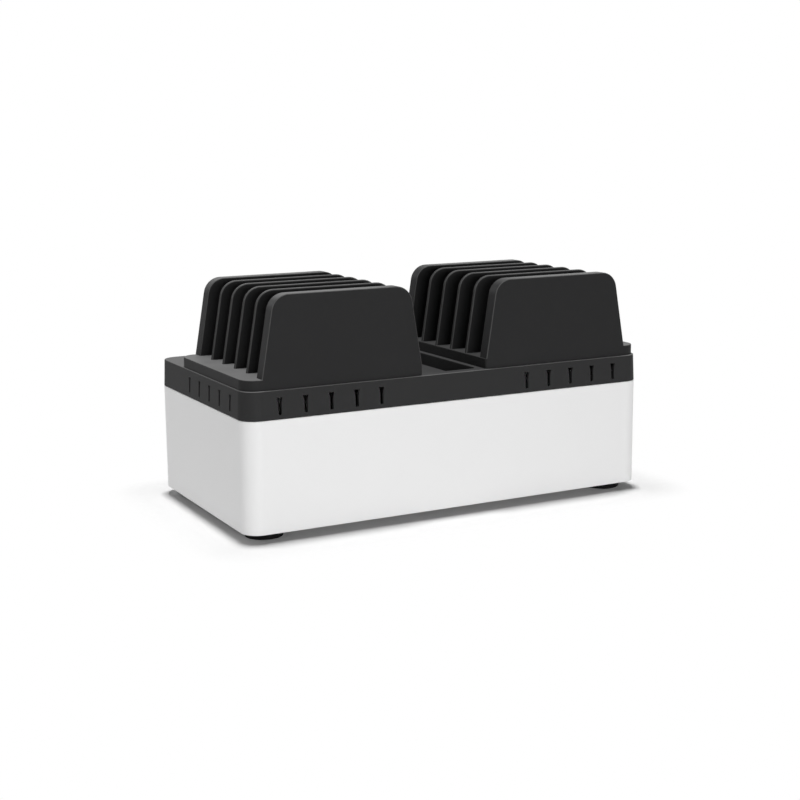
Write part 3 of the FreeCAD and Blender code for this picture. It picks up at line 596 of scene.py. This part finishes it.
def charcoal_finish(scene, name, colour, highlight_colour, top_light_amount, steepest, upright_share=0.0):
    """Grained charcoal shell with a painted highlight on its rounded edges and painted top light on its upward
    faces.
    """
    colours, details = scene.station_colours, scene.station_details
    charcoal = moulded_finish(name, colour, roughness=0.5, grain=details.shell_grain,
                              specular=details.shell_gloss)
    # Painted highlight on the rounded edges
    overlay(charcoal, highlight_colour, "Painted edge highlight", painted_edge_highlight,
            {"Amount": details.edge_highlight, "Upright Share": upright_share})
    # Painted top light on upward faces, with painted shade towards the middle
    overlay(charcoal, colours.painted_light_grey, "Painted top light", painted_top_light,
            {"Amount": top_light_amount, "Steepest": steepest})
    return charcoal


def soften(node, edge):
    """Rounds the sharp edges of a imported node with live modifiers; its own mesh stays as it is."""
    piece = frame["nodes"][node]
    weld = piece.modifiers.new("Weld", "WELD")
    weld.merge_threshold = MERGE_GAP
    bevel = piece.modifiers.new("Bevel", "BEVEL")
    bevel.width = edge
    bevel.segments = 2
    bevel.limit_method = "ANGLE"
    bevel.angle_limit = math.radians(40)


class STATION_OT_case(bpy.types.Operator):
    """Finish the lower case in satin white"""
    bl_idname = "station.case"
    bl_label = "White case"

    def execute(self, context):
        colours = context.scene.station_colours
        white = moulded_finish("White moulded case", colours.case_white, roughness=0.45, grain=0.7 * MM,
                               bump=0.08, tone=0.02, specular=0.4)
        dress(frame["nodes"]["base_case"], white)
        return {"FINISHED"}


class STATION_OT_deck(bpy.types.Operator):
    """Finish the slit deck in grained charcoal"""
    bl_idname = "station.deck"
    bl_label = "Charcoal deck"

    def execute(self, context):
        scene = context.scene
        colours = scene.station_colours
        # The deck's top edge gets a painted highlight in the painted light grey, and its upward faces painted top
        # light
        charcoal = charcoal_finish(scene, "Charcoal moulded deck", colours.deck_charcoal,
                                   colours.painted_light_grey, scene.station_details.deck_top_light, steepest=0.6)
        dress(frame["nodes"]["deck_frame"], charcoal)
        return {"FINISHED"}


class STATION_OT_racks(bpy.types.Operator):
    """Finish the trays, end panels and dividers of both racks"""
    bl_idname = "station.racks"
    bl_label = "Charcoal racks"

    def execute(self, context):
        scene = context.scene
        colours, top_light_amount = scene.station_colours, scene.station_details.rack_top_light
        # Both finishes carry painted highlights on rounded edges and painted top light on upward faces
        tray = charcoal_finish(scene, "Charcoal moulded tray", colours.rack_charcoal, colours.painted_highlight_grey,
                               top_light_amount, steepest=0.75)
        plate = charcoal_finish(scene, "Charcoal moulded plate", colours.rack_charcoal, colours.painted_highlight_grey,
                                top_light_amount, steepest=0.6, upright_share=1.0)
        for side in RACK_SIDES:
            for node in frame["record"]["behaviour"]["bodies"][side + "_rack"]:
                if not node.endswith(("screws", "pads")):
                    dress(frame["nodes"][node], tray if node.endswith("tray_base") else plate)
        return {"FINISHED"}


class STATION_OT_rubber(bpy.types.Operator):
    """Model the ringed rubber feet and finish the tray pads"""
    bl_idname = "station.rubber"
    bl_label = "Rubber feet and pads"

    rings: bpy.props.IntProperty(
        name="Rings", description="Grooves between a foot's rim and its pocket", subtype="UNSIGNED",
        min=0, default=2)

    def profile(self, radius, height, details):
        """Half section of a foot, from the hole's top edge out, down and back under it."""
        hole, edge = details.foot_hole_radius, details.foot_edge
        sink_r, sink_h = details.foot_sink_radius, details.foot_sink_depth
        points = [(hole, height), (radius, height)]
        points += quarter_arc((radius - edge, edge), edge, start=0)
        pitch = (radius - edge - sink_r) / (self.rings + 1)
        half, slope = details.groove_width / 2, details.groove_depth / 4
        for i in range(self.rings, 0, -1):
            r = sink_r + i * pitch
            points += [(r + half + slope, 0), (r + half, details.groove_depth),
                       (r - half, details.groove_depth), (r - half - slope, 0)]
        return points + [(sink_r, 0), (sink_r, sink_h), (hole, sink_h), (hole, height)]

    def execute(self, context):
        rubber = moulded_finish("Black rubber", context.scene.station_colours.rubber_black,
                                roughness=0.75, grain=0.4 * MM, bump=0.3, tone=0.3, specular=0.1)
        for node in FEET:
            low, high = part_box(node)
            middle = (low + high) / 2
            profile = self.profile((high.x - low.x) / 2, high.z, context.scene.station_details)
            foot = spun(node + "_ringed", profile, steps=64)
            foot.location = (middle.x, middle.y, 0)
            settle(foot)
            smooth(foot)
            dress(foot, rubber, "base", [node])
        for side in RACK_SIDES:
            dress(frame["nodes"][side + "_tray_pads"], rubber)
        return {"FINISHED"}


class STATION_OT_outlets(bpy.types.Operator):
    """Finish the outlet strip's housing and cover"""
    bl_idname = "station.outlets"
    bl_label = "Outlet strip"

    def execute(self, context):
        grey = moulded_finish("Grey outlet strip", context.scene.station_colours.strip_grey,
                              roughness=0.42, grain=0.6 * MM, bump=0.1)
        for node in ("outlet_housing", "outlet_cover"):
            dress(frame["nodes"][node], grey)
        return {"FINISHED"}


class STATION_OT_contacts(bpy.types.Operator):
    """Round and finish the pins, contact bars and switch terminals"""
    bl_idname = "station.contacts"
    bl_label = "Brass contacts"

    def execute(self, context):
        brass = metal_finish("Rolled brass", context.scene.station_colours.contact_brass, roughness=0.28)
        for node in ("inlet_pins", "switch_terminals", "live_bar", "neutral_bar", "earth_bar"):
            soften(node, context.scene.station_details.contact_edge)
            dress(frame["nodes"][node], brass)
        return {"FINISHED"}


def screw(name, head_r, head_h, shank_r, reach, details):
    """Pan-head screw with a cross recess, its head up and its seat at the origin."""
    crown = head_h / 2
    profile = [(0, head_h)] + quarter_arc((head_r - crown, head_h - crown), crown, start=math.pi / 2)
    profile += [(head_r, 0), (shank_r, 0), (shank_r, -reach), (0, -reach)]
    piece = spun(name, profile, steps=40)
    arm = head_r * details.recess_share
    half = head_r * details.recess_arm_share
    floor = head_h * (1 - details.recess_depth_share)
    for x, y in ((arm, half), (half, arm)):
        cutter = rounded_block("Recess cutter", (-x, -y, floor), (x, y, 2 * head_h), half / 4)
        apply_modifier(piece, "BOOLEAN", operation="DIFFERENCE", object=cutter, solver="EXACT")
        bpy.data.objects.remove(cutter)
    smooth(piece)
    return piece


def upright(x, y, z):
    return Matrix.Translation((x, y, z))


def overhead(x, y, z):
    return Matrix.Translation((x, y, z)) @ Matrix.Rotation(math.pi, 4, "X")


def backwards(x, y, z):
    return Matrix.Translation((x, y, z)) @ Matrix.Rotation(-math.pi / 2, 4, "X")


class STATION_OT_screws(bpy.types.Operator):
    """Model every screw with its cross recess in place of the plain solids"""
    bl_idname = "station.screws"
    bl_label = "Cross-recess screws"

    def screw_set(self, details, steel, node, body, sizes, turn, columns=2):
        """Screws of one node: their grid comes from the node's box less the heads."""
        head_r, head_h, shank_r = sizes
        low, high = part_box(node)
        xs = [low.x + head_r + i * (high.x - low.x - 2 * head_r) / (columns - 1) for i in range(columns)]
        if turn is backwards:
            reach = high.y - low.y - head_h
            places = [turn(x, high.y - head_h, (low.z + high.z) / 2) for x in xs]
        else:
            reach = high.z - low.z - head_h
            seat = low.z + head_h if turn is overhead else high.z - head_h
            places = [turn(x, y, seat) for y in (low.y + head_r, high.y - head_r) for x in xs]
        master = screw(node + "_master", head_r, head_h, shank_r, reach, details)
        dress(copies(master, node + "_crossed", places), steel, body, [node])

    def execute(self, context):
        details = context.scene.station_details
        steel = metal_finish("Plated steel", context.scene.station_colours.screw_steel, roughness=0.26)
        self.screw_set(details, steel, "foot_screws", "base", SCREW_SIZES["foot"], overhead)
        self.screw_set(details, steel, "strip_mount_screws", "base", SCREW_SIZES["strip_mount"], upright)
        self.screw_set(details, steel, "cover_screws", "base", SCREW_SIZES["cover"], upright, columns=3)
        self.screw_set(details, steel, "inlet_screws", "base", SCREW_SIZES["inlet"], backwards)
        for side in RACK_SIDES:
            self.screw_set(details, steel, side + "_panel_screws", side + "_rack",
                           SCREW_SIZES["panel"], overhead)
        return {"FINISHED"}


class STATION_OT_power(bpy.types.Operator):
    """Finish the mains inlet and the switch, and model the marks on its rocker"""
    bl_idname = "station.power"
    bl_label = "Inlet and switch"

    rocker_front: bpy.props.FloatProperty(
        name="Rocker front", description="From the rocker's axis to the dip of its face", unit="LENGTH",
        default=2.0 * MM)
    rocker_half: bpy.props.FloatProperty(
        name="Rocker half height", description="From the dip of the face to its end", unit="LENGTH",
        default=7.2 * MM)
    throw: bpy.props.FloatProperty(
        name="Throw", description="Tip of the rocker either side of level", subtype="ANGLE",
        default=math.radians(12))

    def place(self, side):
        """Middle of the rocker's upper (1) or lower (-1) face at rest, turned to face out of it."""
        pivot = [j for j in frame["joints"] if j["name"] == "switch_rock"][0]["pos_m"]
        half = self.rocker_half / 2
        level = Vector((0, self.rocker_front + half * math.tan(self.throw), side * half))
        tipped = Matrix.Rotation(-self.throw, 4, "X")
        lean = Matrix.Rotation(-side * self.throw, 4, "X")
        return Matrix.Translation(pivot) @ tipped @ Matrix.Translation(level) @ lean

    def execute(self, context):
        details = context.scene.station_details
        colours = context.scene.station_colours
        black = moulded_finish("Black inlet plastic", colours.inlet_black, roughness=0.35,
                               grain=0.5 * MM, bump=0.08)
        for node in ("power_inlet", "switch_frame", "switch_rocker"):
            dress(frame["nodes"][node], black)
        paint = moulded_finish("White mark paint", colours.mark_white, roughness=0.55, grain=0.3 * MM,
                               bump=0.1)
        half_h, half_w, proud = details.mark_height / 2, details.mark_stroke / 2, details.mark_proud
        on_mark = rounded_block("on_mark", (-half_w, -proud, -half_h), (half_w, proud, half_h), proud / 2)
        inner = half_h - details.mark_stroke
        ring = [(half_h, -proud), (half_h, proud), (inner, proud), (inner, -proud), (half_h, -proud)]
        off_mark = spun("off_mark", ring, steps=40)
        off_mark.rotation_euler = (math.pi / 2, 0, 0)
        settle(off_mark)
        smooth(off_mark)
        for mark, side in ((on_mark, 1), (off_mark, -1)):
            mark.matrix_world = self.place(side)
            settle(mark)
            dress(mark, paint, "power_switch")
        return {"FINISHED"}


class STATION_OT_leads(bpy.types.Operator):
    """Lay the inner leads in their colours and sleeve their terminals"""
    bl_idname = "station.leads"
    bl_label = "Inner leads"

    pin: bpy.props.FloatVectorProperty(
        name="Pin", description="Width and height of an inlet pin", size=2, unit="LENGTH",
        default=(2.0 * MM, 4.0 * MM))
    tail: bpy.props.FloatVectorProperty(
        name="Tail", description="Width and height of a switch terminal", size=2, unit="LENGTH",
        default=(4.8 * MM, 0.8 * MM))
    loop: bpy.props.FloatProperty(
        name="Loop", description="How far the leads loop out behind the inlet", unit="LENGTH",
        default=12 * MM)
    drop: bpy.props.FloatProperty(
        name="Drop", description="Height over the outlet strip at which the leads turn down", unit="LENGTH",
        default=15.5 * MM)
    bar_height: bpy.props.FloatProperty(
        name="Bar height", description="Height of a contact bar between its fingers", unit="LENGTH",
        default=7 * MM)

    def terminals(self):
        """Where a lead can start: the back ends of the inlet's pins and of the switch's two tails."""
        pins_low, pins_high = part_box("inlet_pins")
        tails_low, tails_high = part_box("switch_terminals")
        low_z, switch_x = pins_low.z + self.pin[1] / 2, (tails_low.x + tails_high.x) / 2
        return {
            "live": Vector((pins_low.x + self.pin[0] / 2, pins_low.y, low_z)),
            "neutral": Vector((pins_high.x - self.pin[0] / 2, pins_low.y, low_z)),
            "earth": Vector(((pins_low.x + pins_high.x) / 2, pins_low.y, pins_high.z - self.pin[1] / 2)),
            "switch_in": Vector((switch_x, tails_low.y, tails_low.z + self.tail[1] / 2)),
            "switch_out": Vector((switch_x, tails_low.y, tails_high.z - self.tail[1] / 2)),
        }

    def routes(self, radius):
        """Colour, control points and terminal sizes of each lead, laid between the nodes that it joins."""
        ends = self.terminals()
        first, last = ends["live"], ends["switch_in"]
        loop_y = first.y - self.loop
        middle = (first + last) / 2
        points = [first, (first.x, loop_y, first.z), (middle.x, loop_y, middle.z),
                  (last.x, loop_y, last.z), last]
        routes = {"live_in_lead": ("live_lead", points, [self.pin, self.tail])}
        entry_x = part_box("inner_leads")[1].x - radius
        cover_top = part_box("outlet_cover")[1].z
        for name, wire, start, terminal in (("live_out_lead", "live", "switch_out", self.tail),
                                            ("neutral_lead", "neutral", "neutral", self.pin),
                                            ("earth_lead", "earth", "earth", self.pin)):
            first = ends[start]
            bar_low, bar_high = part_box(wire + "_bar")
            bar_y = (bar_low.y + bar_high.y) / 2
            points = [first, (first.x, bar_y, first.z), (entry_x, bar_y, cover_top + self.drop),
                      (entry_x, bar_y, cover_top), (entry_x, bar_y, bar_low.z + self.bar_height)]
            routes[name] = (wire + "_lead", points, [terminal])
        return routes

    def lead(self, name, points, radius):
        """Round lead on one smooth line, drawn by its five control points."""
        deselect_everything()
        bpy.ops.curve.primitive_nurbs_path_add(radius=radius)
        piece = named(bpy.context.object, name)
        line = piece.data
        line.dimensions = "3D"
        line.bevel_depth = radius
        line.bevel_resolution = 4
        line.resolution_u = 16
        line.use_fill_caps = True
        spline = line.splines[0]
        for knot, point in zip(spline.points, points):
            knot.co = (*point, 1)
        spline.order_u = 3
        spline.use_endpoint_u = True
        pick(piece)
        bpy.ops.object.convert(target="MESH")
        piece = named(bpy.context.object, name)
        smooth(piece)
        return piece

    def boot(self, name, end, terminal, details):
        """Sleeve over the end of a lead and the terminal that it joins."""
        least = details.lead_radius + details.boot_wall / 2
        half_w, half_h = [max(side / 2 + details.boot_wall, least) for side in terminal]
        low = Vector(end) - Vector((half_w, details.boot_back, half_h))
        high = Vector(end) + Vector((half_w, details.boot_reach, half_h))
        return rounded_block(name, low, high, details.boot_wall * BOOT_EDGE_SHARE)

    def execute(self, context):
        details = context.scene.station_details
        colours = context.scene.station_colours
        sleeve = moulded_finish("Clear grey sleeve", colours.sleeve_grey, roughness=0.4, grain=0.5 * MM,
                                bump=0.05)
        for name, (colour, points, terminals) in self.routes(details.lead_radius).items():
            sheath = moulded_finish(name.replace("_", " "), getattr(colours, colour), roughness=0.5,
                                    grain=0.4 * MM, bump=0.08)
            lead = self.lead(name, points, details.lead_radius)
            dress(lead, sheath, "base", ["inner_leads"])
            ends = (points[0], points[-1])
            for number, (end, terminal) in enumerate(zip(ends, terminals), start=1):
                boot = self.boot("%s_boot_%d" % (name, number), end, terminal, details)
                dress(boot, sleeve, "base")
        return {"FINISHED"}


def background_ray(tree):
    """One where a ray comes from the camera, a reflection or a clear material, and else nothing."""
    path = tree.nodes.new("ShaderNodeLightPath").outputs
    seen = step(tree, "MAXIMUM", path["Is Camera Ray"], path["Is Glossy Ray"])
    return step(tree, "MAXIMUM", seen, path["Is Transmission Ray"])


class STATION_OT_stage(bpy.types.Operator):
    """Set up the pale floor, the soft light and the camera"""
    bl_idname = "station.stage"
    bl_label = "Studio"

    def floor(self, colour, near, far):
        """Matt floor that keeps the shadow near the station and is plain white further off."""
        deselect_everything()
        bpy.ops.mesh.primitive_plane_add(size=FLOOR_SIDE)
        floor = named(bpy.context.object, "Studio floor")
        material = bpy.data.materials.new("Pale floor")
        material.use_nodes = True
        tree = material.node_tree
        tree.nodes.remove(tree.nodes["Principled BSDF"])
        matt = tree.nodes.new("ShaderNodeBsdfDiffuse")
        matt.inputs["Color"].default_value = (*colour, 1)
        white = tree.nodes.new("ShaderNodeEmission")
        off_middle = vector_step(tree, "ABSOLUTE", object_place(tree))["Vector"]
        past_side = vector_step(tree, "SUBTRACT", off_middle, (cad_high.x, cad_high.y, 0))["Vector"]
        beyond = vector_step(tree, "MAXIMUM", past_side, (0, 0, 0))["Vector"]
        reach = vector_step(tree, "LENGTH", beyond)["Value"]
        whitened = step(tree, "MULTIPLY", ramp(tree, reach, near, far), background_ray(tree))
        mixed = tree.nodes.new("ShaderNodeMixShader")
        for value, socket in zip((whitened, matt.outputs[0], white.outputs[0]), mixed.inputs):
            feed(tree, value, socket)
        feed(tree, mixed.outputs[0], tree.nodes["Material Output"].inputs["Surface"])
        floor.data.materials.append(material)

    def sky(self, context, strength):
        """Faint light from all round, seen as plain white behind the station."""
        world = bpy.data.worlds.new("Studio sky")
        context.scene.world = world
        world.use_nodes = True
        tree = world.node_tree
        background = tree.nodes["Background"].inputs
        background["Color"].default_value = (1, 1, 1, 1)
        level = ramp(tree, background_ray(tree), low=strength, curve="LINEAR")
        feed(tree, level, background["Strength"])

    def soft_box(self, name, place, aim, size, power):
        """Rectangular area lamp turned to its aim."""
        place = Vector(place)
        turn = (aim - place).to_track_quat("-Z", "Y").to_euler()
        bpy.ops.object.light_add(type="AREA", location=place, rotation=turn)
        lamp = named(bpy.context.object, name)
        lamp.data.shape = "RECTANGLE"
        lamp.data.size, lamp.data.size_y = size
        lamp.data.energy = power

    def camera(self, context, studio):
        """Camera turned, raised and leaned round a point above the middle of the floor."""
        az, el, roll = studio.azimuth, studio.elevation, studio.roll
        back = Vector((math.sin(az) * math.cos(el), -math.cos(az) * math.cos(el), math.sin(el)))
        right = Vector((math.cos(az), math.sin(az), 0))
        up = back.cross(right)
        leaned_right = right * math.cos(roll) + up * math.sin(roll)
        leaned_up = up * math.cos(roll) - right * math.sin(roll)
        turn = Matrix((leaned_right, leaned_up, back)).transposed().to_euler()
        aim = Vector((0, 0, studio.aim_height))
        bpy.ops.object.camera_add(location=aim + back * studio.distance, rotation=turn)
        camera = named(bpy.context.object, "Studio camera")
        camera.data.lens = studio.lens
        context.scene.camera = camera

    def execute(self, context):
        studio = context.scene.station_studio
        context.scene.view_settings.view_transform = "Standard"
        self.floor(context.scene.station_colours.floor_grey, studio.floor_near, studio.floor_far)
        self.sky(context, studio.sky)
        middle = (cad_low + cad_high) / 2
        self.soft_box("Top soft box", studio.top_place, middle, studio.top_size, studio.top_power)
        self.soft_box("Front soft box", studio.key_place, middle, studio.key_size, studio.key_power)
        self.soft_box("Side soft box", studio.side_place, middle, studio.side_size, studio.side_power)
        self.soft_box("Back soft box", studio.back_place, middle, studio.back_size, studio.back_power)
        self.camera(context, studio)
        return {"FINISHED"}


class STATION_PT_panel(bpy.types.Panel):
    """Steps that dress the charging station"""
    bl_label = "Charging station"
    bl_idname = "STATION_PT_panel"
    bl_space_type = "VIEW_3D"
    bl_region_type = "UI"
    bl_category = "Station"

    def draw(self, context):
        layout = self.layout
        for operator in OPERATORS:
            layout.operator(operator.bl_idname)
        for group in (context.scene.station_colours, context.scene.station_details,
                      context.scene.station_studio):
            box = layout.box()
            for key in group.__annotations__:
                box.prop(group, key)


OPERATORS = (STATION_OT_case, STATION_OT_deck, STATION_OT_racks, STATION_OT_rubber, STATION_OT_outlets,
             STATION_OT_contacts, STATION_OT_screws, STATION_OT_power, STATION_OT_leads, STATION_OT_stage)
CLASSES = (StationColours, StationDetails, StationStudio) + OPERATORS + (STATION_PT_panel,)


def register():
    for cls in CLASSES:
        bpy.utils.register_class(cls)
    scene = bpy.types.Scene
    scene.station_colours = bpy.props.PointerProperty(type=StationColours)
    scene.station_details = bpy.props.PointerProperty(type=StationDetails)
    scene.station_studio = bpy.props.PointerProperty(type=StationStudio)


def unregister():
    for name in ("station_colours", "station_details", "station_studio"):
        delattr(bpy.types.Scene, name)
    for cls in reversed(CLASSES):
        bpy.utils.unregister_class(cls)


def main():
    register()
    bpy.ops.station.case()
    bpy.ops.station.deck()
    bpy.ops.station.racks()
    bpy.ops.station.rubber()
    bpy.ops.station.outlets()
    bpy.ops.station.contacts()
    bpy.ops.station.screws()
    bpy.ops.station.power()
    bpy.ops.station.leads()
    bpy.ops.station.stage()


if __name__ == "__main__":
    main()
